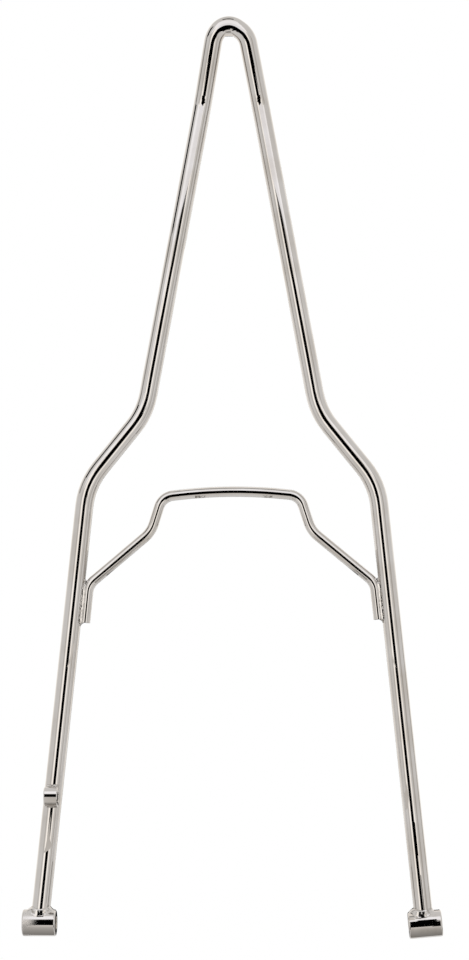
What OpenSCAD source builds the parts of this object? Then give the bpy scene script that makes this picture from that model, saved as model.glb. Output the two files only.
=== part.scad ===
// Sissy bar for a motorcycle: one bent steel bar with a fender crossbar and three welded bosses.
// Millimetres, +Z up, +X to the right of the bike, +Y towards the front of the bike.
// The origin lies in the middle of the left foot lug's bolt hole; the right lug lies on the X axis.

// Which piece to draw

/* [Main bar] */
// Diameter of the solid round bar that makes both legs and the top bow
bar_d = 16; // [10:0.5:25]
// Distance between the middles of the two legs at the height of the foot lugs
foot_spacing = 333.8; // [300:0.2:360]
// Inward lean of the lower legs from the vertical
lower_lean = 5.8; // [0:0.1:12]
// Height at which the legs turn in at the shoulder
shoulder_low_z = 382; // [300:1:480]
// Height at which the shoulder turns up again
shoulder_high_z = 446; // [430:1:480]
// Half of the distance between the upper legs where the top is bent back
kick_half_x = 25.6; // [25:0.1:40]
// Inward lean of the upper legs from the vertical
upper_lean = 10.4; // [6:0.1:11]
// Bend radius at the shoulders, measured to the bar's middle
shoulder_r = 64; // [24:1:70]

/* [Top kick] */
// Height of the line on which the top bends towards the rear
kick_z = 724; // [620:1:740]
// Angle of that bend
kick_angle = 20; // [4:0.5:30]
// Radius of that bend, measured to the bar's middle
kick_r = 46; // [24:1:60]

/* [Top bow] */
// Height of the bow's two side bends above the kick, along the top
bow_side_rise = 60.5; // [56:0.5:61]
// Radius of the side bends, measured to the bar's middle
bow_side_r = 20; // [10:0.5:21]
// Height of the corner at the bow's peak above the kick, along the top
bow_peak_rise = 72.9; // [72:0.1:76]
// How far the peak lies from the middle, to the right
bow_peak_x = -3.1; // [-4:0.1:4]
// Radius of the bend at the peak, measured to the bar's middle
bow_peak_r = 12; // [9.5:0.5:12.5]
// How far the inside of the bow is upset past the round bar
bow_upset = 1.8; // [1:0.1:2.4]

/* [Fender crossbar] */
// Diameter of the crossbar rod
rod_d = 9; // [6:0.5:11]
// Height of the middle of the crossbar's crown
crown_z = 375.4; // [368:0.2:390]
// Radius of the crown's slight arch
crown_r = 430; // [350:5:800]
// Half of the arched length of the crown
crown_half = 47; // [30:1:50]
// Half of the distance between the crown's two corners
corner_x = 60.6; // [58:0.2:70]
// Lean from the vertical of the short drop below each corner
drop_lean = 17.7; // [8:0.1:24]
// Height at which the drop turns out into the slanted arm
elbow_z = 340.5; // [330:0.5:345]
// Lean of the slanted arm from the vertical
arm_lean = 50.1; // [42:0.1:54]
// Bend radius at the crown's corners
corner_r = 14; // [8:0.5:15]
// Bend radius at the elbow
elbow_r = 26; // [12:1:32]
// Bend radius where the arm turns down along the leg
tail_r = 16; // [10:0.5:20]
// Height of the rod's cut end on the left leg
left_tail_z = 261; // [255:0.5:268]
// Height of the rod's cut end on the right leg
right_tail_z = 262.3; // [255:0.1:268]
// How far the crossbar is welded out of level, right side up
crossbar_roll = 0.3; // [-0.5:0.1:0.5]
// Depth of the hollow that seats the rod against the leg
rod_seat = 1.1; // [0.6:0.1:1.6]

/* [Foot lugs] */
// Outer diameter of the foot lugs
lug_d = 23; // [20:0.5:30]
// Length of the foot lugs
lug_len = 29; // [26:0.5:40]
// Diameter of the bolt hole through the foot lugs and the side bung
bolt_hole_d = 10; // [6:0.5:10.5]
// Chamfer on the outer edges of the lugs
lug_chamfer = 1.1; // [0.4:0.1:1.6]
// Chamfer at the mouths of the bolt holes
mouth_chamfer = 0.6; // [0.2:0.1:0.8]
// How far the left lug is welded out of level
left_lug_tilt = 0; // [-3:0.5:6]
// How far the right lug is welded out of level, outer end up
right_lug_tilt = 5; // [-3:0.5:6]
// How far the right lug's middle sits outside the leg's middle
right_lug_out = 0.6; // [-1:0.1:1]

/* [Side bung] */
// Outer diameter of the side bung
bung_d = 17; // [15.5:0.5:20]
// Length of the side bung
bung_len = 12; // [9:0.5:15]
// Height of the side bung's middle
bung_z = 109.5; // [60:0.5:200]
// How deep the bung is hollowed to sit on the leg
bung_seat = 1.4; // [0.8:0.1:2]
// Chamfer on the outer edges of the bung
bung_chamfer = 0.8; // [0.3:0.1:1]

/* [Welds] */
// Height of the lug weld along the leg, above the lug's surface
lug_weld_rise = 3.7; // [2.5:0.1:5]
// Reach of the left lug's weld beyond the leg's outer side
left_weld_out = 4.2; // [2:0.1:5]
// Reach of the left lug's weld beyond the leg's inner side
left_weld_in = 5; // [2:0.1:5.6]
// Reach of the right lug's weld beyond the leg's outer side
right_weld_out = 1.8; // [1:0.1:5]
// Reach of the right lug's weld beyond the leg's inner side
right_weld_in = 5.8; // [2:0.1:5.8]
// Reach of the bung weld beyond the bung, up and down the leg
bung_weld_reach = 2.2; // [1:0.1:3]
// How far the crossbar weld climbs above the end of the rod's seat
crotch_rise = 5.5; // [3:0.5:7]

/* [Hidden] */
// Small overrun that keeps cuts clean
eps = 0.01;
// Bent stretches come out a hair thicker than the straight bar, which ends inside them
bend_swell = 0.03;
lap = 0.8;
$fn = 72;
bar_r = bar_d / 2;
rod_r = rod_d / 2;
lug_r = lug_d / 2;
bung_r = bung_d / 2;
hole_r = bolt_hole_d / 2;
foot_x = foot_spacing / 2;
// Corners of the leg's path in the plane of the legs
low_x = foot_x - shoulder_low_z * tan(lower_lean);
kick_x = kick_half_x;
high_x = kick_x + (kick_z - shoulder_high_z) * tan(upper_lean);
// True angle of the kick along one leaning leg, and the side it bends to
kick_true = acos(pow(sin(upper_lean), 2) + cos(kick_angle) * pow(cos(upper_lean), 2));
kick_side = atan2(-sin(kick_angle) * cos(upper_lean), -sin(upper_lean) * cos(upper_lean) * (1 - cos(kick_angle)));
kick_run = kick_r * tan(kick_true / 2);
// Distance between the rod's middle and the leg's middle where they lie side by side
rod_off = bar_r + rod_r - rod_seat;
// Crossbar corners, right-hand side
crown_turn = asin(crown_half / crown_r);
crown_end_z = crown_z - crown_r * (1 - cos(crown_turn));
corner_z = crown_end_z - (corner_x - crown_half) * tan(crown_turn);
elbow_x = corner_x + (corner_z - elbow_z) * tan(drop_lean);
tail_top_z = (elbow_x + elbow_z * tan(arm_lean) - foot_x + rod_off / cos(lower_lean))
    / (tan(arm_lean) - tan(lower_lean));
tail_top_x = elbow_x + (elbow_z - tail_top_z) * tan(arm_lean);
// Height about which the crossbar is out of level, and how far its ends go down or up for it
roll_z = 290;
roll_drop = tail_top_x * sin(crossbar_roll);
// Distance of the side bung's middle in front of the leg's middle
bung_off = bar_r + bung_r - bung_seat;
bung_x = -(foot_x - bung_z * tan(lower_lean));
// Half of the front width of the crossbar weld on the leg, and its rod edge
bead_leg_x = bar_r * 0.675;
bead_leg_y = bar_r * 0.738;
bead_rod_x = rod_off - rod_r * 0.27;
bead_rod_y = rod_r * 0.963;

steel = [0.79, 0.78, 0.76];
weld_steel = [0.70, 0.69, 0.67];

// Modules draw about the bike's centre plane; this moves that plane to its place in the part's frame
module in_part_frame() {
    translate([foot_x, 0, 0])
        children();
}

function heading(a, b) = atan2(b[1] - a[1], b[0] - a[0]);
function turn_at(p, i) = let (t = heading(p[i], p[i + 1]) - heading(p[i - 1], p[i]))
    t > 180 ? t - 360 : (t < -180 ? t + 360 : t);
function tail_x(z) = tail_top_x + (tail_top_z - z) * tan(lower_lean);
// Distance along the leg from the foot to a height on the rod's tail
function along_leg(z) = (z + (foot_x - tail_x(z)) * tan(lower_lean)) * cos(lower_lean);
function run_at(p, r, i) = (i == 0 || i == len(p) - 1) ? 0 : r[i] * tan(abs(turn_at(p, i)) / 2);

// Round stock bent through the corners of a flat path, standing in the XZ plane
module bent_stock(p, r, d) {
    for (i = [0 : len(p) - 2]) {
        a = heading(p[i], p[i + 1]);
        span = norm(p[i + 1] - p[i]);
        start = run_at(p, r, i) - (i == 0 ? 0 : lap);
        stop = run_at(p, r, i + 1) - (i == len(p) - 2 ? 0 : lap);
        translate([p[i][0] + start * cos(a), 0, p[i][1] + start * sin(a)])
            rotate([0, 90 - a, 0])
                cylinder(d = d, h = span - start - stop);
    }
    for (i = [1 : len(p) - 2]) {
        turn = turn_at(p, i);
        side = turn > 0 ? 1 : -1;
        come = heading(p[i - 1], p[i]);
        go = heading(p[i], p[i + 1]);
        back = run_at(p, r, i);
        cx = p[i][0] - back * cos(come) - side * r[i] * sin(come);
        cz = p[i][1] - back * sin(come) + side * r[i] * cos(come);
        rotate([90, 0, 0])
            translate([cx, cz, 0])
                rotate([0, 0, turn > 0 ? come - 90 : go + 90])
                    rotate_extrude(angle = abs(turn))
                        translate([r[i], 0])
                            circle(d = d + bend_swell * 2);
    }
}

// Frame of the top part, which is bent back about a line across the bike
module kicked() {
    translate([0, 0, kick_z])
        rotate([kick_angle, 0, 0])
            translate([0, 0, -kick_z])
                children();
}

// Frame along the left leg: its Z runs up the leg and its X points inwards
module along_left_leg() {
    translate([-foot_x, 0, 0])
        rotate([0, lower_lean, 0])
            children();
}

// One leg from the foot to the start of the kick, right-hand side
module leg_path() {
    span = (kick_z - shoulder_high_z) / cos(upper_lean) - kick_run + lap;
    bent_stock(
        [
            [foot_x, 0],
            [low_x, shoulder_low_z],
            [high_x, shoulder_high_z],
            [high_x - span * sin(upper_lean), shoulder_high_z + span * cos(upper_lean)]
        ],
        [0, shoulder_r, shoulder_r, 0],
        bar_d
    );
}

// The bend at the kick, right-hand side
module kick_bend() {
    translate([kick_x, 0, kick_z])
        rotate([0, -upper_lean, 0])
            rotate([0, 0, kick_side])
                translate([kick_r, 0, -kick_run])
                    rotate([90, 0, 0])
                        rotate([0, 0, 180 - kick_true])
                            rotate_extrude(angle = kick_true)
                                translate([kick_r, 0])
                                    circle(d = bar_d + bend_swell * 2);
}

// The top bow with the straight stretches that lead into it
module bow() {
    sx = kick_x - (kick_run - lap) * sin(upper_lean);
    sz = kick_z + (kick_run - lap) * cos(upper_lean);
    side_x = kick_x - bow_side_rise * tan(upper_lean);
    bent_stock(
        [
            [sx, sz],
            [side_x, kick_z + bow_side_rise],
            [bow_peak_x, kick_z + bow_peak_rise],
            [-side_x, kick_z + bow_side_rise],
            [-sx, sz]
        ],
        [0, bow_side_r, bow_peak_r, bow_side_r, 0],
        bar_d
    );
}

// Metal pushed up on the inside of the tight bow, a flat-looking swelling
module bow_swelling() {
    swell_r = bar_r * 0.82;
    swell_len = bow_peak_r * 1.5;
    inside_z = kick_z + bow_peak_rise - bar_r * 1.48;
    translate([bow_peak_x * 0.25, 0, inside_z - bow_upset + swell_r])
        rotate([0, 90, 0])
            cylinder(r = swell_r, h = swell_len, center = true);
}

// Middle of a lug across the bike
function lug_x(side) = side > 0 ? foot_x + right_lug_out : -foot_x;

// Outside of a lug, used to shape it and to hollow what meets it
module lug_round(side, tilt, r, h) {
    translate([lug_x(side), 0, 0])
        rotate([0, 90 - side * tilt, 0])
            cylinder(r = r, h = h, center = true);
}

module hoop_bar() {
    color(steel)
        difference() {
            union() {
                leg_path();
                mirror([1, 0, 0]) leg_path();
                kick_bend();
                mirror([1, 0, 0]) kick_bend();
                kicked() bow();
                kicked() bow_swelling();
            }
            lug_round(-1, left_lug_tilt, lug_r, lug_len * 2);
            lug_round(1, right_lug_tilt, lug_r, lug_len * 2);
        }
}

// A turned sleeve along Z with chamfered rims and a through hole
module sleeve(r, len, bore_r, chamfer) {
    difference() {
        rotate_extrude()
            polygon([
                [0, -len / 2],
                [r - chamfer, -len / 2],
                [r, -len / 2 + chamfer],
                [r, len / 2 - chamfer],
                [r - chamfer, len / 2],
                [0, len / 2]
            ]);
        cylinder(r = bore_r, h = len + 2, center = true);
        for (end = [-1, 1]) {
            translate([0, 0, end * len / 2])
                mirror([0, 0, end > 0 ? 1 : 0])
                    translate([0, 0, -eps])
                        cylinder(r1 = bore_r + mouth_chamfer + eps, r2 = bore_r, h = mouth_chamfer + eps);
        }
    }
}

module lug(side, tilt) {
    color(steel)
        translate([lug_x(side), 0, 0])
            rotate([0, 90 - side * tilt, 0])
                sleeve(lug_r, lug_len, hole_r, lug_chamfer);
}

// Weld collar round the foot of a leg; out and in are its reaches away from and towards the bike's middle
module lug_weld(side, tilt, out, in) {
    rise = lug_r + lug_weld_rise;
    flank_top = rise + 2.4;
    toe_z = lug_r - 0.6;
    lean_in = flank_top * tan(lower_lean);
    color(weld_steel)
        difference() {
            intersection() {
                lug_round(side, tilt, rise, lug_len);
                translate([side * foot_x, 0, 0])
                    mirror([side > 0 ? 1 : 0, 0, 0])
                        rotate([90, 0, 0])
                            linear_extrude(bar_d + 8, center = true)
                                polygon([
                                    [-bar_r - out, 0],
                                    [-bar_r - out, toe_z],
                                    [lean_in - bar_r * 0.55, flank_top],
                                    [lean_in + bar_r * 0.6, flank_top],
                                    [bar_r + in, toe_z],
                                    [bar_r + in, 0]
                                ]);
                translate([side * foot_x, 0, 0])
                    rotate([90, 0, 90])
                        linear_extrude(bar_d * 4, center = true)
                            polygon([
                                [-bar_r - 2.4, lug_r * 0.45],
                                [-bar_r - 0.7, rise],
                                [bar_r + 0.7, rise],
                                [bar_r + 2.4, lug_r * 0.45]
                            ]);
            }
            lug_round(side, tilt, lug_r, lug_len * 2);
            mirror([side > 0 ? 1 : 0, 0, 0])
                along_left_leg()
                    cylinder(d = bar_d, h = rise * 3);
        }
}

// Frame of the crossbar, which is welded slightly out of level; side is -1 where it is drawn mirrored
module rolled(side) {
    translate([0, 0, roll_z])
        rotate([0, -crossbar_roll * side, 0])
            translate([0, 0, -roll_z])
                children();
}

// Half of the crossbar on the right, from the crown's end to the cut end
module crossbar_half(cut_z) {
    bent_stock(
        [
            [crown_half - lap * cos(crown_turn), crown_end_z + lap * sin(crown_turn)],
            [corner_x, corner_z],
            [elbow_x, elbow_z],
            [tail_top_x, tail_top_z],
            [tail_x(cut_z), cut_z]
        ],
        [0, corner_r, elbow_r, tail_r, 0],
        rod_d
    );
}

module crossbar_path() {
    crossbar_half(right_tail_z);
    mirror([1, 0, 0]) crossbar_half(left_tail_z);
    rotate([90, 0, 0])
        translate([0, crown_z - crown_r, 0])
            rotate([0, 0, 90 - crown_turn])
                rotate_extrude(angle = crown_turn * 2, $fn = 360)
                    translate([crown_r, 0])
                        circle(d = rod_d + bend_swell * 2);
}

// An end of the crossbar alone, drawn on the left, from the slanted arm to the cut end
module left_tail(cut_z) {
    mirror([1, 0, 0])
        bent_stock(
            [
                [(elbow_x + tail_top_x) / 2, (elbow_z + tail_top_z) / 2],
                [tail_top_x, tail_top_z],
                [tail_x(cut_z), cut_z]
            ],
            [0, tail_r, 0],
            rod_d
        );
}

// Straight stretch of the left leg, used to hollow what sits against it
module left_leg_stretch() {
    along_left_leg()
        cylinder(d = bar_d, h = (shoulder_low_z / cos(lower_lean)) * 0.9);
}

module fender_crossbar() {
    color(steel)
        difference() {
            rolled(1) crossbar_path();
            left_leg_stretch();
            mirror([1, 0, 0]) left_leg_stretch();
        }
}

// Filler between leg and rod on one face, drawn on the left leg; face is -1 for the rear, 1 for the front
module crossbar_weld(face, side, cut_z) {
    tail_along = along_leg(cut_z) - side * roll_drop;
    seat_along = along_leg(tail_top_z) - side * roll_drop;
    groove_low = tail_along - 1.2;
    groove_high = seat_along - 1;
    crotch_low = seat_along - 8;
    crotch_high = seat_along + crotch_rise;
    foot_drop = 4;
    half_depth = rod_r * 0.86;
    color(weld_steel)
        difference() {
            union() {
                // long bead in the groove
                along_left_leg()
                    translate([0, 0, groove_low])
                        linear_extrude(groove_high - groove_low)
                            polygon([
                                [bead_leg_x, face * bead_leg_y],
                                [bead_rod_x, face * bead_rod_y],
                                [rod_off - rod_r * 0.6, face * rod_r * 0.3],
                                [bar_r * 0.8, face * rod_r * 0.3]
                            ]);
                // filler in the fork between leg and arm
                along_left_leg()
                    translate([0, face * half_depth / 2, 0])
                        rotate([90, 0, 0])
                            linear_extrude(half_depth, center = true)
                                polygon([
                                    [bar_r * 0.7, crotch_low],
                                    [rod_off, crotch_low],
                                    [rod_off + 4.5, crotch_high - 2],
                                    [rod_off + 1, crotch_high],
                                    [bar_r * 0.7, crotch_high]
                                ]);
                // filler under the rod's cut end
                along_left_leg()
                    translate([0, face * half_depth / 2, 0])
                        rotate([90, 0, 0])
                            linear_extrude(half_depth, center = true)
                                polygon([
                                    [bar_r * 0.7, tail_along - foot_drop],
                                    [bar_r + 0.5, tail_along - foot_drop],
                                    [rod_off - 0.5, tail_along - 0.9],
                                    [rod_off - 0.5, tail_along + 2],
                                    [bar_r * 0.7, tail_along + 2]
                                ]);
            }
            rolled(side) left_tail(cut_z);
            left_leg_stretch();
            // hollow surface of the fork filler
            along_left_leg()
                translate([bar_r + 2.1, 0, crotch_high + 0.6])
                    rotate([90, 0, 0])
                        cylinder(r = 2.4, h = bar_d, center = true);
            // hollow surface of the foot filler
            along_left_leg()
                translate([bar_r + 3.4, 0, tail_along - foot_drop - 0.2])
                    rotate([90, 0, 0])
                        cylinder(r = 3, h = bar_d, center = true);
        }
}

module left_crossbar_weld(face) {
    crossbar_weld(face, 1, left_tail_z);
}

module right_crossbar_weld(face) {
    mirror([1, 0, 0])
        crossbar_weld(face, -1, right_tail_z);
}

module left_lug_weld() {
    lug_weld(-1, left_lug_tilt, left_weld_out, left_weld_in);
}

module right_lug_weld() {
    lug_weld(1, right_lug_tilt, right_weld_out, right_weld_in);
}

module side_bung() {
    color(steel)
        difference() {
            translate([bung_x, -bung_off, bung_z])
                rotate([0, 90, 0])
                    sleeve(bung_r, bung_len, hole_r * 0.95, bung_chamfer);
            left_leg_stretch();
        }
}

module side_bung_weld() {
    reach = bung_r + bung_weld_reach;
    color(weld_steel)
        difference() {
            translate([bung_x, 0, bung_z])
                rotate([90, 0, 90])
                    linear_extrude(bung_len - 1.6, center = true)
                        polygon([
                            [-bar_r * 0.5, reach - 0.4],
                            [-bar_r - 0.9, reach - 0.4],
                            [-bar_r - 3.4, bung_r - 1.2],
                            [-bar_r - 3.4, -bung_r + 1.2],
                            [-bar_r - 0.9, -reach + 0.4],
                            [-bar_r * 0.5, -reach + 0.4]
                        ]);
            left_leg_stretch();
            translate([bung_x, -bung_off, bung_z])
                rotate([0, 90, 0])
                    cylinder(r = bung_r, h = bung_len * 2, center = true);
        }
}

in_part_frame() hoop_bar();
in_part_frame() fender_crossbar();
in_part_frame() lug(-1, left_lug_tilt);  // left_lug
in_part_frame() lug(1, right_lug_tilt);  // right_lug
in_part_frame() side_bung();
in_part_frame() left_lug_weld();
in_part_frame() right_lug_weld();
in_part_frame() left_crossbar_weld(-1);  // left_crossbar_weld_rear
in_part_frame() left_crossbar_weld(1);  // left_crossbar_weld_front
in_part_frame() right_crossbar_weld(-1);  // right_crossbar_weld_rear
in_part_frame() right_crossbar_weld(1);  // right_crossbar_weld_front
in_part_frame() side_bung_weld();
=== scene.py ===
"""Looks of a chrome plated sissy bar in a white light tent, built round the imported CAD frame."""

from __future__ import annotations

import logging
import math
from dataclasses import dataclass, field
from enum import Enum

import bmesh
import bpy
from mathutils import Matrix, Vector, noise
from mathutils.bvhtree import BVHTree

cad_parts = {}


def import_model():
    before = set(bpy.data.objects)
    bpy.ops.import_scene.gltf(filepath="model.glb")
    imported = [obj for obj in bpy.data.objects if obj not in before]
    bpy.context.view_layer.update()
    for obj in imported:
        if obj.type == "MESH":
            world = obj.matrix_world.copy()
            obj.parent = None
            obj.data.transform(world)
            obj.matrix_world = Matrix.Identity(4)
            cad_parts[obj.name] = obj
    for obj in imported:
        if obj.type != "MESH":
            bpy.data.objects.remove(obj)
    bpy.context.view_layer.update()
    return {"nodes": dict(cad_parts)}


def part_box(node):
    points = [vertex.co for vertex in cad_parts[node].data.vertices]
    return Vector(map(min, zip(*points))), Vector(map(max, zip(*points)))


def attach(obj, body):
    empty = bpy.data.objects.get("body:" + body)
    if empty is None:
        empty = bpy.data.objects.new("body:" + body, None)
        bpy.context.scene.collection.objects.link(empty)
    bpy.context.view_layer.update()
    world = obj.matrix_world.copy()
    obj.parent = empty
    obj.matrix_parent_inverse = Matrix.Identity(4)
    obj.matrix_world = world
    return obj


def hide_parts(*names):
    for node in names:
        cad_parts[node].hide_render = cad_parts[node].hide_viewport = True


LOG = logging.getLogger("sissy_bar")
PICTURE_HEIGHT = 960

MM = 0.001
# Points of a mesh that lie closer together than this are one
MERGE = 0.001 * MM
# The bar's centre plane, and how far the tent's floor lies below the lugs
CENTRE_X = 0.1669
FLOOR_DROP = 0.288
# The right lug's middle, counted from the left one's, and its lean
RIGHT_LUG_X = 0.3344
RIGHT_LUG_TILT = 5.0
# Where the noise of the welds is read: three rows for the warp of the drops, one for the pits
WARP_ROWS = (0.0, 17.3, 41.9)
PIT_ROW = 3.1
# How far a weld's seed moves its drops in Y, as a share of their move in X
SEED_SKEW = 0.7


def linear(hex_colour: str) -> tuple[float, float, float, float]:
    """Turns an sRGB hex colour to a linear one.

    Args:
        hex_colour: six hex digits.

    Returns:
        Red, green, blue and an alpha of 1.
    """
    channels = []
    for start in (0, 2, 4):
        value = int(hex_colour[start : start + 2], 16) / 255
        channels.append(value / 12.92 if value <= 0.04045 else ((value + 0.055) / 1.055) ** 2.4)
    return (channels[0], channels[1], channels[2], 1.0)


def add_node(
    tree: bpy.types.NodeTree,
    kind: str,
    settings: dict[str | int, object] | None = None,
    links: dict[str | int, bpy.types.NodeSocket] | None = None,
) -> bpy.types.Node:
    """Adds a node with its settings and links.

    Args:
        tree: the node tree that gets the node.
        kind: the node's type name.
        settings: values by the name of a property, or by the name or number of an input socket.
        links: output sockets by the name or number of the input that they feed.

    Returns:
        The new node.
    """
    node = tree.nodes.new(kind)
    for name, value in (settings or {}).items():
        if isinstance(name, str) and hasattr(node, name):
            setattr(node, name, value)
        else:
            node.inputs[name].default_value = value
    for name, socket in (links or {}).items():
        tree.links.new(socket, node.inputs[name])
    return node


def empty_material(name: str) -> bpy.types.Material:
    """Makes a material whose node tree is empty.

    Args:
        name: what the material is called.

    Returns:
        The material.
    """
    material = bpy.data.materials.new(name)
    material.use_nodes = True
    material.node_tree.nodes.clear()
    return material


class Place(Enum):
    """Where a studio card stands; the value gives the axes of its first and second side."""

    IN_FRONT = "xz"
    OVERHEAD = "xy"
    AT_THE_SIDE = "yz"


@dataclass(frozen=True)
class Chrome:
    """Bright chrome plate on polished steel: a mirror whose reflections waver with the bar beneath.

    The colour is the warm light grey of chrome in a white tent. Long waves come from bending and
    belt polishing, and make the lines along a bar waver. The fine ones are the plate's orange
    peel, which roughens the edges of those lines. Haze is where the polish is a little dull.
    """

    name: str
    colour: str = "C3BFBB"
    haze_colour: str = "B7B1AA"
    roughness: float = 0.022
    haze_roughness: float = 0.05
    wave_mm: float = 26.0
    wave_depth_mm: float = 0.02
    # Real peel is under 1 mm wide, which is too fine to show, so it is drawn coarser
    peel_mm: float = 2.2
    peel_depth_mm: float = 0.00007
    haze_mm: float = 38.0
    haze_edge: tuple[float, float] = (0.42, 0.72)

    def build(self) -> bpy.types.Material:
        """Makes the material.

        Returns:
            The material with its node tree.
        """
        material = empty_material(self.name)
        tree = material.node_tree
        place = add_node(tree, "ShaderNodeTexCoord").outputs["Object"]
        colour, gloss = self.base(tree, place)
        waves = add_node(
            tree,
            "ShaderNodeTexNoise",
            {"Scale": 1 / (self.wave_mm * MM), "Detail": 1.0},
            {"Vector": place},
        ).outputs["Fac"]
        peel = add_node(
            tree,
            "ShaderNodeTexNoise",
            {"Scale": 1 / (self.peel_mm * MM), "Detail": 2.0},
            {"Vector": place},
        ).outputs["Fac"]
        wavy = add_node(
            tree,
            "ShaderNodeBump",
            {"Distance": self.wave_depth_mm * MM, "Strength": 1.0},
            {"Height": waves},
        ).outputs["Normal"]
        peeled = add_node(
            tree,
            "ShaderNodeBump",
            {"Distance": self.peel_depth_mm * MM, "Strength": 1.0},
            {"Height": peel, "Normal": wavy},
        ).outputs["Normal"]
        shader = add_node(
            tree,
            "ShaderNodeBsdfPrincipled",
            {"Metallic": 1.0},
            {"Base Color": colour, "Roughness": gloss, "Normal": peeled},
        )
        add_node(tree, "ShaderNodeOutputMaterial", links={"Surface": shader.outputs["BSDF"]})
        return material

    def base(
        self, tree: bpy.types.NodeTree, place: bpy.types.NodeSocket
    ) -> tuple[bpy.types.NodeSocket, bpy.types.NodeSocket]:
        """Makes the plate's colour and roughness, with duller patches.

        Args:
            tree: the material's node tree.
            place: the object coordinates.

        Returns:
            The colour and the roughness.
        """
        haze = add_node(
            tree,
            "ShaderNodeTexNoise",
            {"Scale": 1 / (self.haze_mm * MM), "Detail": 4.0, "Roughness": 0.6},
            {"Vector": place},
        )
        patch = add_node(
            tree,
            "ShaderNodeMapRange",
            {"From Min": self.haze_edge[0], "From Max": self.haze_edge[1]},
            {"Value": haze.outputs["Fac"]},
        ).outputs["Result"]
        colour = add_node(
            tree,
            "ShaderNodeMix",
            {"data_type": "RGBA", 6: linear(self.colour), 7: linear(self.haze_colour)},
            {"Factor": patch},
        )
        gloss = add_node(
            tree,
            "ShaderNodeMapRange",
            {"To Min": self.roughness, "To Max": self.haze_roughness},
            {"Value": patch},
        )
        return colour.outputs[2], gloss.outputs["Result"]


@dataclass(frozen=True)
class RubbedChrome(Chrome):
    """Chrome plate on the thin rod, rubbed at two places under its crown.

    A rub mark is broken, darker and duller than the plate round it, and gives the eye a small
    smudge on the rod's underside.
    """

    wave_mm: float = 18.0
    rub_x_mm: tuple[float, float] = (139.5, 198.5)
    rub_half_mm: float = 4.5
    # Heights on the rod's underside at which a mark begins and at which it is full
    rub_z_mm: tuple[float, float] = (372.34, 370.98)
    # Real scratches are too fine to show, so their grain is drawn coarser
    rub_grain_mm: float = 2.0
    rub_edge: tuple[float, float] = (0.40, 0.55)
    rub_colour: str = "6E6962"
    rub_roughness: float = 0.3

    def base(
        self, tree: bpy.types.NodeTree, place: bpy.types.NodeSocket
    ) -> tuple[bpy.types.NodeSocket, bpy.types.NodeSocket]:
        """Makes the colour and roughness of the plate and its rub marks.

        Args:
            tree: the material's node tree.
            place: the object coordinates.

        Returns:
            The colour and the roughness.
        """
        colour, gloss = super().base(tree, place)
        spot = add_node(tree, "ShaderNodeSeparateXYZ", links={"Vector": place})
        left, right = (
            add_node(
                tree,
                "ShaderNodeMath",
                {"operation": "COMPARE", 1: middle * MM, 2: self.rub_half_mm * MM},
                {0: spot.outputs["X"]},
            ).outputs[0]
            for middle in self.rub_x_mm
        )
        mark = add_node(tree, "ShaderNodeMath", {"operation": "MAXIMUM"}, {0: left, 1: right})
        under = add_node(
            tree,
            "ShaderNodeMapRange",
            {"From Min": self.rub_z_mm[0] * MM, "From Max": self.rub_z_mm[1] * MM},
            {"Value": spot.outputs["Z"]},
        )
        grain = add_node(
            tree,
            "ShaderNodeTexNoise",
            {"Scale": 1 / (self.rub_grain_mm * MM), "Detail": 2.0},
            {"Vector": place},
        )
        broken = add_node(
            tree,
            "ShaderNodeMapRange",
            {"From Min": self.rub_edge[0], "From Max": self.rub_edge[1]},
            {"Value": grain.outputs["Fac"]},
        )
        for part in (under, broken):
            mark = add_node(
                tree,
                "ShaderNodeMath",
                {"operation": "MULTIPLY"},
                {0: mark.outputs[0], 1: part.outputs["Result"]},
            )
        toned = add_node(
            tree,
            "ShaderNodeMix",
            {"data_type": "RGBA", 7: linear(self.rub_colour)},
            {"Factor": mark.outputs[0], 6: colour},
        )
        dulled = add_node(
            tree, "ShaderNodeMix", {3: self.rub_roughness}, {"Factor": mark.outputs[0], 2: gloss}
        )
        return toned.outputs[2], dulled.outputs[0]


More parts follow.
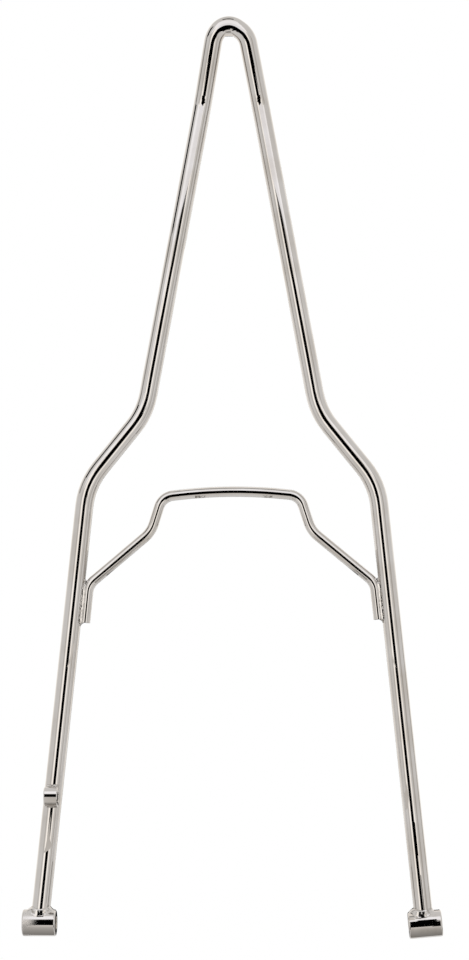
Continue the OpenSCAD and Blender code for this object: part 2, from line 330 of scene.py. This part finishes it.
@dataclass(frozen=True)
class LugChrome(Chrome):
    """Chrome plate on turned steel: hazy towards the outer end, thin inside the bolt hole.

    The bath's current hardly reaches into a hole, so the plate there is darker and rougher, which
    gives the eye the soft arc at a lug's inner end. A dull outer end lets the lug's dark band
    fade out there.
    """

    wave_mm: float = 14.0
    roughness: float = 0.05
    haze_mm: float = 9.0
    hole_colour: str = "A39C92"
    hole_roughness: float = 0.35
    # Distance from the axis at which the hole's plate ends and at which the lug's begins
    hole_edge_mm: tuple[float, float] = (5.6, 6.2)
    dull_from_mm: float = 0.0
    dull_to_mm: float = 0.0

    def base(
        self, tree: bpy.types.NodeTree, place: bpy.types.NodeSocket
    ) -> tuple[bpy.types.NodeSocket, bpy.types.NodeSocket]:
        """Makes the colour and roughness of the plate, its duller end and its hole.

        Args:
            tree: the material's node tree.
            place: the object coordinates.

        Returns:
            The colour and the roughness.
        """
        colour, gloss = super().base(tree, place)
        spot = add_node(tree, "ShaderNodeSeparateXYZ", links={"Vector": place})
        if self.dull_from_mm != self.dull_to_mm:
            end = add_node(
                tree,
                "ShaderNodeMapRange",
                {
                    "From Min": self.dull_from_mm * MM,
                    "From Max": self.dull_to_mm * MM,
                    "To Min": self.haze_roughness,
                    "To Max": 0.0,
                },
                {"Value": spot.outputs["X"]},
            )
            gloss = add_node(
                tree,
                "ShaderNodeMath",
                {"operation": "MAXIMUM"},
                {0: gloss, 1: end.outputs["Result"]},
            ).outputs[0]
        across = add_node(
            tree,
            "ShaderNodeCombineXYZ",
            links={"Y": spot.outputs["Y"], "Z": spot.outputs["Z"]},
        )
        off_axis = add_node(
            tree, "ShaderNodeVectorMath", {"operation": "LENGTH"}, {0: across.outputs["Vector"]}
        )
        hole = add_node(
            tree,
            "ShaderNodeMapRange",
            {
                "From Min": self.hole_edge_mm[0] * MM,
                "From Max": self.hole_edge_mm[1] * MM,
                "To Min": 1.0,
                "To Max": 0.0,
            },
            {"Value": off_axis.outputs["Value"]},
        ).outputs["Result"]
        toned = add_node(
            tree,
            "ShaderNodeMix",
            {"data_type": "RGBA", 7: linear(self.hole_colour)},
            {"Factor": hole, 6: colour},
        )
        dulled = add_node(
            tree, "ShaderNodeMix", {3: self.hole_roughness}, {"Factor": hole, 2: gloss}
        )
        return toned.outputs[2], dulled.outputs[0]


@dataclass(frozen=True)
class BeadChrome(Chrome):
    """Chrome plate over a weld that wasn't dressed: duller than the bar, grained and patchy.

    It breaks the reflections up, so that a weld looks like small drops beside the bar's long lines.
    """

    roughness: float = 0.09
    haze_roughness: float = 0.20
    wave_mm: float = 4.5
    peel_mm: float = 1.1
    peel_depth_mm: float = 0.0004
    haze_mm: float = 4.0
    haze_edge: tuple[float, float] = (0.50, 0.70)
    haze_colour: str = "8F8A82"


@dataclass(frozen=True)
class Card:
    """A studio card: a flat glowing or black panel that only the chrome sees."""

    name: str
    place: Place
    centre: tuple[float, float, float]
    size: tuple[float, float]
    level: float
    far_level: float | None = None
    from_above_only: bool = False
    colour: str = "FFFCF8"

    def build(self, centre_x: float) -> bpy.types.Object:
        """Makes the card, which the camera, diffuse light and shadows don't see.

        Args:
            centre_x: where the bar's centre plane is; the card's place counts from there.

        Returns:
            The card's object.
        """
        first, second = ("xyz".index(axis) for axis in self.place.value)
        mesh = bmesh.new()
        made = bmesh.ops.create_grid(mesh, x_segments=1, y_segments=1, size=0.5)
        for vertex in made["verts"]:
            spot = Vector(self.centre) + Vector((centre_x, 0, 0))
            spot[first] += vertex.co.x * self.size[0]
            spot[second] += vertex.co.y * self.size[1]
            vertex.co = spot
        data = bpy.data.meshes.new(self.name)
        mesh.to_mesh(data)
        mesh.free()
        data.materials.append(self.make_glow())
        card = bpy.data.objects.new(self.name, data)
        bpy.context.scene.collection.objects.link(card)
        card.visible_camera = False
        card.visible_diffuse = False
        card.visible_shadow = False
        return card

    def make_glow(self) -> bpy.types.Material:
        """Makes the card's even or fading light.

        Returns:
            The card's material.
        """
        material = empty_material(self.name)
        tree = material.node_tree
        glow = add_node(
            tree, "ShaderNodeEmission", {"Color": linear(self.colour), "Strength": self.level}
        )
        if self.far_level is not None:
            self.fade(tree, glow)
        surface = self.hide_from_below(tree, glow) if self.from_above_only else glow.outputs[0]
        add_node(tree, "ShaderNodeOutputMaterial", links={"Surface": surface})
        return material

    def hide_from_below(
        self, tree: bpy.types.NodeTree, glow: bpy.types.Node
    ) -> bpy.types.NodeSocket:
        """Makes the card clear on its lower face, so that the legs look through it.

        Args:
            tree: the card's node tree.
            glow: its emission node.

        Returns:
            The mixed shader's output.
        """
        side = add_node(tree, "ShaderNodeNewGeometry").outputs["Backfacing"]
        clear = add_node(tree, "ShaderNodeBsdfTransparent").outputs[0]
        mixed = add_node(tree, "ShaderNodeMixShader", links={0: side, 1: glow.outputs[0], 2: clear})
        return mixed.outputs[0]

    def fade(self, tree: bpy.types.NodeTree, glow: bpy.types.Node) -> None:
        """Lets the level change evenly along the card's second side.

        Args:
            tree: the card's node tree.
            glow: its emission node.
        """
        axis = self.place.value[1]
        middle, half = self.centre["xyz".index(axis)], self.size[1] / 2
        place = add_node(tree, "ShaderNodeTexCoord").outputs["Object"]
        split = add_node(tree, "ShaderNodeSeparateXYZ", links={"Vector": place})
        level = add_node(
            tree,
            "ShaderNodeMapRange",
            {
                "From Min": middle - half,
                "From Max": middle + half,
                "To Min": self.level,
                "To Max": self.far_level,
            },
            {"Value": split.outputs[axis.upper()]},
        )
        tree.links.new(level.outputs["Result"], glow.inputs["Strength"])


@dataclass
class Studio:
    """The white tent: world, floor, lamps, cards, and the camera at the photograph's angle."""

    centre_x: float
    floor_z: float
    floor_size: float = 9.0
    floor_colour: str = "F6F5F3"
    # Share of the floor's picture that its shaded cloth gives; the rest is plain white
    shade_share: float = 0.05
    white_level: float = 1.01
    plain_level: float = 0.85
    lamps: tuple[tuple[str, float, float], ...] = (
        ("left_lamp", -1.6, -1.2),
        ("right_lamp", 1.9, -1.4),
    )
    lamp_height: float = 2.0
    lamp_size: float = 1.4
    lamp_power: float = 9.0
    # The camera: metres, degrees, and pixels of the photograph
    target_z: float = 0.4
    distance: float = 2.2
    azimuth: float = 2.4
    elevation: float = -5.594
    focal_px: float = 2494.8
    sensor_mm: float = 36.0
    shift_left_px: float = 3.07
    shift_up_px: float = 16.1
    cards: list[Card] = field(default_factory=list)

    def build(self) -> None:
        """Makes the whole studio."""
        self.set_view()
        self.make_world()
        self.make_floor()
        self.make_lamps()
        for card in self.cards:
            card.build(self.centre_x)
            LOG.info("card %s", card.name)
        self.make_camera()

    def set_view(self) -> None:
        """Keeps colours as they are written."""
        bpy.context.scene.view_settings.view_transform = "Standard"

    def seen_directly(self, tree: bpy.types.NodeTree) -> bpy.types.NodeSocket:
        """Gives 1 for rays of the camera, of gloss and of transmission, and 0 for others.

        Args:
            tree: the node tree that asks.

        Returns:
            The socket with the answer.
        """
        path = add_node(tree, "ShaderNodeLightPath")
        either = add_node(
            tree,
            "ShaderNodeMath",
            {"operation": "MAXIMUM"},
            {0: path.outputs["Is Camera Ray"], 1: path.outputs["Is Glossy Ray"]},
        )
        return add_node(
            tree,
            "ShaderNodeMath",
            {"operation": "MAXIMUM"},
            {0: either.outputs[0], 1: path.outputs["Is Transmission Ray"]},
        ).outputs[0]

    def make_world(self) -> None:
        """Makes the tent's even white, and a plain light level for everything else."""
        world = bpy.data.worlds.new("white_tent")
        bpy.context.scene.world = world
        world.use_nodes = True
        tree = world.node_tree
        tree.nodes.clear()
        level = add_node(
            tree,
            "ShaderNodeMapRange",
            {"To Min": self.plain_level, "To Max": 1.0},
            {"Value": self.seen_directly(tree)},
        ).outputs["Result"]
        light = add_node(
            tree,
            "ShaderNodeBackground",
            {"Color": (1.0, 1.0, 1.0, 1.0)},
            {"Strength": level},
        )
        add_node(tree, "ShaderNodeOutputWorld", links={"Surface": light.outputs[0]})

    def make_floor(self) -> None:
        """Makes the plain pale floor, which keeps a soft shadow of the bar."""
        mesh = bmesh.new()
        bmesh.ops.create_grid(mesh, x_segments=1, y_segments=1, size=self.floor_size / 2)
        bmesh.ops.translate(mesh, verts=mesh.verts, vec=(self.centre_x, 0, self.floor_z))
        data = bpy.data.meshes.new("tent_floor")
        mesh.to_mesh(data)
        mesh.free()
        data.materials.append(self.make_cloth())
        floor = bpy.data.objects.new("tent_floor", data)
        bpy.context.scene.collection.objects.link(floor)

    def make_cloth(self) -> bpy.types.Material:
        """Makes the tent's matt white cloth, which looks white under the bar's faint shadow.

        Returns:
            The floor's material.
        """
        material = empty_material("pale_tent_cloth")
        tree = material.node_tree
        cloth = add_node(tree, "ShaderNodeBsdfDiffuse", {"Color": linear(self.floor_colour)})
        white = add_node(
            tree, "ShaderNodeEmission", {"Color": (1, 1, 1, 1), "Strength": self.white_level}
        )
        share = add_node(
            tree,
            "ShaderNodeMath",
            {"operation": "MULTIPLY", 1: 1 - self.shade_share},
            {0: self.seen_directly(tree)},
        )
        mixed = add_node(
            tree,
            "ShaderNodeMixShader",
            links={0: share.outputs[0], 1: cloth.outputs[0], 2: white.outputs[0]},
        )
        add_node(tree, "ShaderNodeOutputMaterial", links={"Surface": mixed.outputs[0]})
        return material

    def make_lamps(self) -> None:
        """Hangs two large soft lamps; the chrome doesn't mirror them."""
        for name, x, y in self.lamps:
            data = bpy.data.lights.new(name, "AREA")
            data.shape = "RECTANGLE"
            data.size = self.lamp_size
            data.size_y = self.lamp_size
            data.energy = self.lamp_power
            lamp = bpy.data.objects.new(name, data)
            lamp.location = (x, y, self.lamp_height)
            toward = Vector((self.centre_x, 0, self.target_z)) - lamp.location
            lamp.rotation_euler = toward.to_track_quat("-Z", "Y").to_euler()
            lamp.visible_glossy = False
            lamp.visible_camera = False
            bpy.context.scene.collection.objects.link(lamp)

    def make_camera(self) -> None:
        """Stands the camera at the photograph's viewing angle."""
        data = bpy.data.cameras.new("photo_camera")
        data.sensor_fit = "VERTICAL"
        data.sensor_height = self.sensor_mm
        data.lens = self.focal_px / PICTURE_HEIGHT * self.sensor_mm
        data.shift_x = self.shift_left_px / PICTURE_HEIGHT
        data.shift_y = -self.shift_up_px / PICTURE_HEIGHT
        camera = bpy.data.objects.new("photo_camera", data)
        turn, rise = math.radians(self.azimuth), math.radians(self.elevation)
        target = Vector((self.centre_x, 0, self.target_z))
        away = Vector(
            (math.sin(turn) * math.cos(rise), -math.cos(turn) * math.cos(rise), math.sin(rise))
        )
        camera.location = target + away * self.distance
        camera.rotation_euler = (-away).to_track_quat("-Z", "Y").to_euler()
        bpy.context.scene.collection.objects.link(camera)
        bpy.context.scene.camera = camera


@dataclass
class WeldBead:
    """A run of filler, built from the CAD solid: drops, creases, ripples and pits are in its mesh.

    The toes are where the filler meets the bars. Drops lie side by side with creases between
    them, drawn out along the run by the stretch. Ripples cross the run, and pits follow a lane
    along the toe.
    """

    node: str
    against: tuple[str, ...]
    voxel_mm: float = 0.36
    drop_mm: float = 4.2
    drop_depth_mm: float = 0.9
    drop_warp: float = 0.3
    dome_share: float = 0.7
    crease_share: float = 0.3
    crease_width: float = 0.5
    ripple_mm: float = 1.7
    ripple_depth_mm: float = 0.05
    wander_mm: float = 6.0
    wander_turns: float = 0.8
    hollow_mm: float = 0.3
    hollow_reach_mm: float = 2.0
    pit_mm: float = 0.0
    pit_lane_mm: float = 0.5
    pit_lane_half_mm: float = 0.6
    pit_beat_mm: float = 1.3
    pit_least: float = 0.4
    pit_gain: float = 2.2
    toe_mm: float = 0.15
    blend_mm: float = 1.0
    first_smoothings: int = 6
    last_smoothings: int = 3
    stretch: float = 1.0
    round_plan: bool = False
    seed: float = 0.0

    def build(
        self, nodes: dict[str, bpy.types.Object], material: bpy.types.Material
    ) -> bpy.types.Object:
        """Makes the weld's own piece and hides its CAD node.

        Args:
            nodes: the frame's nodes by name.
            material: the plated bead's finish.

        Returns:
            The weld's object.
        """
        name = self.node + "_run"
        data = bpy.data.meshes.new(name)
        mesh = bmesh.new()
        mesh.from_mesh(nodes[self.node].data)
        bmesh.ops.remove_doubles(mesh, verts=mesh.verts, dist=MERGE)
        mesh.to_mesh(data)
        mesh.free()
        piece = bpy.data.objects.new(name, data)
        bpy.context.scene.collection.objects.link(piece)
        remesh = piece.modifiers.new("even", "REMESH")
        remesh.mode = "VOXEL"
        remesh.voxel_size = self.voxel_mm * MM
        ready = piece.evaluated_get(bpy.context.evaluated_depsgraph_get())
        even = bpy.data.meshes.new_from_object(ready)
        piece.modifiers.clear()
        mesh = bmesh.new()
        mesh.from_mesh(even)
        self.shape(mesh, [self.surface(nodes[other]) for other in self.against])
        for face in mesh.faces:
            face.smooth = True
        mesh.to_mesh(data)
        mesh.free()
        bpy.data.meshes.remove(even)
        data.materials.clear()
        data.materials.append(material)
        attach(piece, "root")
        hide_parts(self.node)
        LOG.info("%s: %d faces", name, len(data.polygons))
        return piece

    def surface(self, node: bpy.types.Object) -> BVHTree:
        """Makes a search tree of a neighbour's surface.

        Args:
            node: the CAD node that the weld lies against.

        Returns:
            The tree.
        """
        mesh = bmesh.new()
        mesh.from_mesh(node.data)
        tree = BVHTree.FromBMesh(mesh)
        mesh.free()
        return tree

    def shape(self, mesh: bmesh.types.BMesh, neighbours: list[BVHTree]) -> None:
        """Moves the mesh's points: lumps between the toes, and the toes just into the bars.

        Args:
            mesh: the evenly meshed weld.
            neighbours: the surfaces that the weld lies against.
        """
        if self.round_plan:
            self.round_off(mesh)
        self.smooth(mesh, self.first_smoothings)
        mesh.normal_update()
        moves = []
        for vertex in mesh.verts:
            gaps = [tree.find_nearest(vertex.co)[3] / MM for tree in neighbours]
            free = min(1.0, min(gaps) / self.blend_mm)
            # An even blend from the toe to the open surface
            free = free * free * (3 - 2 * free)
            lift = self.toe_mm * (1 - free) + self.rise(vertex.co / MM, gaps) * free
            moves.append(vertex.normal * lift * MM)
        for vertex, move in zip(mesh.verts, moves):
            vertex.co += move
        self.smooth(mesh, self.last_smoothings)

    def round_off(self, mesh: bmesh.types.BMesh) -> None:
        """Gives the weld an oval plan at every height, as filler flows round a leg.

        Args:
            mesh: the evenly meshed weld.
        """
        levels: dict[int, list[Vector]] = {}
        for vertex in mesh.verts:
            levels.setdefault(round(vertex.co.z / MM), []).append(vertex.co)
        spans = {}
        for level, spots in levels.items():
            along, deep = [spot.x for spot in spots], [spot.y for spot in spots]
            spans[level] = Vector((min(along), max(along), min(deep), max(deep)))
        for vertex in mesh.verts:
            height = vertex.co.z / MM
            below = min(max(math.floor(height), min(spans)), max(spans))
            above = min(below + 1, max(spans))
            part = min(1.0, max(0.0, height - below))
            left, right, rear, front = spans[below].lerp(spans[above], part)
            middle = Vector(((left + right) / 2, (rear + front) / 2))
            out = Vector((vertex.co.x, vertex.co.y)) - middle
            reach = math.hypot(out.x / (right - left), out.y / (front - rear)) * 2
            if reach > 1:
                vertex.co.x, vertex.co.y = middle + out / reach

    def smooth(self, mesh: bmesh.types.BMesh, times: int) -> None:
        """Evens the mesh.

        Args:
            mesh: the weld's mesh.
            times: how often it is evened.
        """
        for _ in range(times):
            bmesh.ops.smooth_vert(
                mesh,
                verts=mesh.verts,
                factor=0.5,
                use_axis_x=True,
                use_axis_y=True,
                use_axis_z=True,
            )

    def rise(self, spot: Vector, gaps: list[float]) -> float:
        """Gives how far the surface stands out at a spot.

        Args:
            spot: the place in millimetres.
            gaps: its distances to the bars in millimetres.

        Returns:
            The height in millimetres, below zero for a hollow.
        """
        laid = Vector((spot.x, spot.y, spot.z / self.stretch)) / self.drop_mm
        laid += Vector((self.seed, self.seed * SEED_SKEW, -self.seed))
        # Three plain readings, because noise_vector changes from run to run
        warp = [noise.noise(laid + Vector((0, 0, row))) for row in WARP_ROWS]
        laid += self.drop_warp * Vector(warp)
        near, second = noise.voronoi(laid)[0][:2]
        crease = max(0.0, 1 - (second - near) / self.crease_width)
        dome = self.dome_share * near * near + self.crease_share * crease * crease
        drop = -self.drop_depth_mm * dome
        wander = self.wander_turns * noise.noise(spot / self.wander_mm + Vector((self.seed, 0, 0)))
        turns = spot.z / self.ripple_mm + wander
        ripple = self.ripple_depth_mm * math.sin(2 * math.pi * turns)
        middle = -self.hollow_mm * min(1.0, sum(gaps) / len(gaps) / self.hollow_reach_mm)
        pit = 0.0
        if self.pit_mm:
            lane = max(0.0, 1 - abs(gaps[0] - self.pit_lane_mm) / self.pit_lane_half_mm)
            beat = noise.noise(Vector((self.seed, PIT_ROW, spot.z / self.pit_beat_mm)))
            pit = -self.pit_mm * lane * (self.pit_least + max(0.0, beat * self.pit_gain))
        return drop + ripple + middle + pit


@dataclass
class TurnedLug:
    """A foot lug turned from round steel: rolled rims, and countersunk mouths of its bolt hole."""

    node: str
    middle: tuple[float, float, float]
    tilt_degrees: float
    length_mm: float = 29.0
    outer_mm: float = 22.99
    bore_mm: float = 10.0
    rim_mm: float = 1.5
    rim_bands: int = 6
    mouth_mm: float = 0.6
    mouth_bands: int = 2
    sides: int = 128
    sharp_degrees: float = 30.0

    def build(self, material: bpy.types.Material) -> bpy.types.Object:
        """Makes the lug and hides its CAD node.

        Args:
            material: the lug's chrome.

        Returns:
            The lug's object.
        """
        name = self.node + "_turned"
        data = bpy.data.meshes.new(name)
        mesh = self.turn()
        bmesh.ops.rotate(
            mesh,
            verts=mesh.verts,
            cent=(0, 0, 0),
            matrix=Matrix.Rotation(math.radians(-self.tilt_degrees), 3, "Y"),
        )
        bmesh.ops.translate(mesh, verts=mesh.verts, vec=self.middle)
        for face in mesh.faces:
            face.smooth = True
        mesh.to_mesh(data)
        mesh.free()
        data.set_sharp_from_angle(angle=math.radians(self.sharp_degrees))
        data.materials.append(material)
        piece = bpy.data.objects.new(name, data)
        bpy.context.scene.collection.objects.link(piece)
        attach(piece, "root")
        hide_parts(self.node)
        LOG.info("%s: %d faces", name, len(data.polygons))
        return piece

    def turn(self) -> bmesh.types.BMesh:
        """Spins the lug's section round the X axis and rounds its rims.

        Returns:
            The lug's mesh, its middle at the origin.
        """
        half = self.length_mm / 2 * MM
        outer, bore = self.outer_mm / 2 * MM, self.bore_mm / 2 * MM
        corners = ((-half, 0, bore), (-half, 0, outer), (half, 0, outer), (half, 0, bore))
        mesh = bmesh.new()
        section = [mesh.verts.new(corner) for corner in corners]
        for first, second in zip(section, section[1:] + section[:1]):
            mesh.edges.new((first, second))
        bmesh.ops.spin(
            mesh,
            geom=mesh.verts[:] + mesh.edges[:],
            cent=(0, 0, 0),
            axis=(1, 0, 0),
            angle=2 * math.pi,
            steps=self.sides,
            use_merge=True,
        )
        bmesh.ops.remove_doubles(mesh, verts=mesh.verts, dist=MERGE)
        bmesh.ops.recalc_face_normals(mesh, faces=mesh.faces)
        self.round_rim(mesh, outer, self.rim_mm, self.rim_bands)
        self.round_rim(mesh, bore, self.mouth_mm, self.mouth_bands)
        return mesh

    def round_rim(
        self, mesh: bmesh.types.BMesh, radius: float, width_mm: float, bands: int
    ) -> None:
        """Rounds the rims that lie on one radius.

        Args:
            mesh: the lug's mesh, its axis along X.
            radius: distance of the rims from the axis, in metres.
            width_mm: how far the rounding reaches.
            bands: its number of bands.
        """
        near = 0.01 * MM
        rims = [
            edge
            for edge in mesh.edges
            if all(abs(math.hypot(v.co.y, v.co.z) - radius) < near for v in edge.verts)
            and abs(edge.verts[0].co.x - edge.verts[1].co.x) < near
        ]
        bmesh.ops.bevel(
            mesh,
            geom=rims,
            offset=width_mm * MM,
            offset_type="OFFSET",
            affect="EDGES",
            segments=bands,
            profile=0.5,
            material=-1,
        )


@dataclass
class PlatedParts:
    """The CAD pieces whose shape is right: they stay, and get chrome in their slots."""

    finishes: dict[str, Chrome]

    def dress(self, nodes: dict[str, bpy.types.Object]) -> None:
        """Puts each finish on its node.

        Args:
            nodes: the frame's nodes by name.
        """
        for name, finish in self.finishes.items():
            material = finish.build()
            for slot in nodes[name].material_slots:
                slot.material = material
            LOG.info("node %s gets %s", name, finish.name)


def tent_cards() -> list[Card]:
    """Lists the cards of the tent, counted from the bar's centre plane.

    Returns:
        The dark slot in the tent's front, the bright flanks beside it and the cards near the feet.
    """
    front, over, side = Place.IN_FRONT, Place.OVERHEAD, Place.AT_THE_SIDE
    cool = "F6F7FC"
    cards = [
        # The tent's open slot, which draws the black line along each leg
        Card("dark_slot", front, (-0.06, -1.488, 0.285), (0.80, 1.17), 0.0),
        Card("dark_slot_top", front, (-0.04, -1.488, 0.94), (0.34, 0.16), 0.0),
        # The slot as only the kicked top sees it
        Card("kick_slot_near", over, (0, -0.775, 0.35), (0.48, 0.35), 0.0, from_above_only=True),
        Card("kick_slot_far", over, (0, -1.15, 0.35), (1.00, 0.40), 0.0, from_above_only=True),
        # The slot's paler upper end, where the line thins out on the upper legs
        Card("slot_shoulder", front, (-0.05, -1.495, 0.795), (1.10, 0.11), 0.3),
        Card("slot_fade", front, (-0.06, -1.51, 0.93), (0.78, 0.14), 0.4),
        # The dark bands of the lugs and the rod
        Card("dark_strip_on_floor", over, (-0.02, -0.93, -0.298), (0.90, 1.14), 0.0),
        # Light under and over the rod
        Card("low_reflector", over, (0, -0.15, 0.22), (0.25, 0.12), 1.0),
        Card("rod_top_reflector", over, (0, 0.20, 0.60), (0.16, 0.30), 1.35),
        # White lines beside the black one, and the legs' grey sides
        Card("left_flank", front, (-0.80, -1.5, 0.35), (0.55, 1.3), 1.75),
        Card("left_grey", front, (-1.72, -1.5, 0.35), (0.45, 1.3), 0.75),
        Card("right_flank", front, (0.66, -1.5, 0.35), (0.42, 1.3), 1.65),
        Card("right_grey", front, (1.10, -0.7, 0.30), (0.60, 1.3), 0.72),
        # The broad cool highlight of the kicked top, and the thin dark line above it
        Card("front_softbox", front, (-0.30, -1.5, 1.98), (3.2, 1.9), 1.7, colour=cool),
        Card("overhead_rail", over, (-0.04, -0.17, 1.3), (0.34, 0.13), 0.05),
        # The dark line along the left leg's outer edge, and its fading foot
        Card("left_post", side, (-1.5, -0.10, 1.47), (0.62, 0.64), 0.0),
        Card("left_post_foot", side, (-1.5, 0.13, 0.98), (0.50, 0.34), 0.55, 0.30),
        # The black band of the kicked top, and the light inside the bow
        Card("kick_shade", over, (0, -0.71, 0.60), (0.50, 0.58), 0.0, from_above_only=True),
        Card("kick_reflector", front, (0, -0.40, 0.791), (0.36, 0.158), 1.5, colour=cool),
        # The tent's rear: grey and white edges, and the line on the front of the legs
        Card("right_rear_grey", front, (1.5, 0.6, 0.20), (0.95, 0.5), 0.62),
        Card("rear_white", front, (0, 1.6, 0.6), (6.0, 4.0), 1.25),
        Card("rear_slot", front, (0, 1.5, 0.30), (0.60, 1.5), 0.0),
        # Shade on the legs' inner edges above the rod
        Card("left_crotch_shade", side, (-0.100, 0.027, 0.306), (0.046, 0.034), 0.10, 0.85),
        Card("right_crotch_shade", side, (0.100, 0.027, 0.306), (0.046, 0.034), 0.10, 0.85),
        # The leaning lug's dark band, out to its end
        Card("right_lug_end_shade", front, (0.1915, -0.10, 0.0025), (0.015, 0.072), 0.0),
        Card("right_lug_shade", front, (0.1675, -0.10, 0.070), (0.036, 0.030), 0.0),
        # Light on the bung's underside
        Card("bung_reflector", over, (-0.17, -0.3, 0.06), (0.12, 0.53), 0.85, from_above_only=True),
    ]
    # The grey lower halves of the lugs: cards under the feet that fade darker towards the lugs, a
    # painted contact shadow of the floor for the lugs to mirror; and the lugs' darker rims
    for foot, x in (("left", -0.167), ("right", 0.170)):
        cards.append(Card(foot + "_foot_shadow_grey", over, (x, -0.095, -0.06), (0.10, 0.25), 1.20, 0.28))
        for hand, beside in (("outer", -0.12), ("inner", 0.12)):
            name = f"{foot}_{hand}_rim_shade"
            cards.append(Card(name, side, (x + beside, 0.03, -0.055), (0.12, 0.06), 0.45))
    return cards


def weld_runs() -> list[WeldBead]:
    """Lists the seven weld runs with their own character.

    Returns:
        Smooth collars at the feet, drops at the bung, long rippled runs along the rod's ends.
    """
    runs = [
        WeldBead(
            f"{side}_lug_weld",
            ("hoop_bar", f"{side}_lug"),
            drop_mm=5.0,
            drop_depth_mm=depth,
            ripple_depth_mm=0.0,
            last_smoothings=smoothings,
            round_plan=True,
            seed=seed,
        )
        for side, depth, smoothings, seed in (("left", 0.2, 8, 1.3), ("right", 0.35, 5, 4.1))
    ]
    runs.append(
        WeldBead(
            "side_bung_weld", ("hoop_bar", "side_bung"), drop_mm=3.0, drop_depth_mm=0.45, seed=2.2
        )
    )
    for side, side_seed in (("left", 5.0), ("right", 8.3)):
        for face, face_seed in (("rear", 0.0), ("front", 1.0)):
            runs.append(
                WeldBead(
                    f"{side}_crossbar_weld_{face}",
                    ("hoop_bar", "fender_crossbar"),
                    drop_mm=4.0,
                    drop_depth_mm=0.22,
                    stretch=3.0,
                    ripple_mm=2.4,
                    ripple_depth_mm=0.03,
                    hollow_mm=0.7,
                    pit_mm=0.7,
                    toe_mm=0.08,
                    blend_mm=0.45,
                    last_smoothings=2,
                    seed=side_seed + face_seed,
                )
            )
    return runs


def main() -> None:
    """Builds the classes in order and reports each piece."""
    logging.basicConfig(level=logging.INFO, format="%(name)s: %(message)s")
    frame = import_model()
    low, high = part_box("hoop_bar")
    left_low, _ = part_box("left_lug")
    right_low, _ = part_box("right_lug")
    right_lug = LugChrome("chrome_on_right_lug", haze_roughness=0.07)
    # The left lug is without peel and hazier, and its outer end is dull
    left_lug = LugChrome(
        "hazed_chrome_on_left_lug",
        peel_depth_mm=0.0,
        haze_roughness=0.34,
        haze_edge=(0.60, 0.85),
        dull_from_mm=-13.0,
        dull_to_mm=4.0,
    )
    bead = BeadChrome("chrome_over_weld_bead").build()
    PlatedParts(
        {
            "hoop_bar": Chrome("polished_chrome_on_bent_bar"),
            "fender_crossbar": RubbedChrome("polished_chrome_on_bent_rod"),
            "side_bung": Chrome("chrome_on_turned_lug", wave_mm=14.0, roughness=0.05),
        }
    ).dress(frame["nodes"])
    TurnedLug("left_lug", (0, 0, 0), 0.0).build(left_lug.build())
    TurnedLug("right_lug", (RIGHT_LUG_X, 0, 0), RIGHT_LUG_TILT).build(right_lug.build())
    for run in weld_runs():
        run.build(frame["nodes"], bead)
    Studio(
        centre_x=CENTRE_X,
        floor_z=min(left_low.z, right_low.z) - FLOOR_DROP,
        cards=tent_cards(),
    ).build()
    LOG.info("bar box %s %s", tuple(low), tuple(high))


if __name__ == "__main__":
    main()
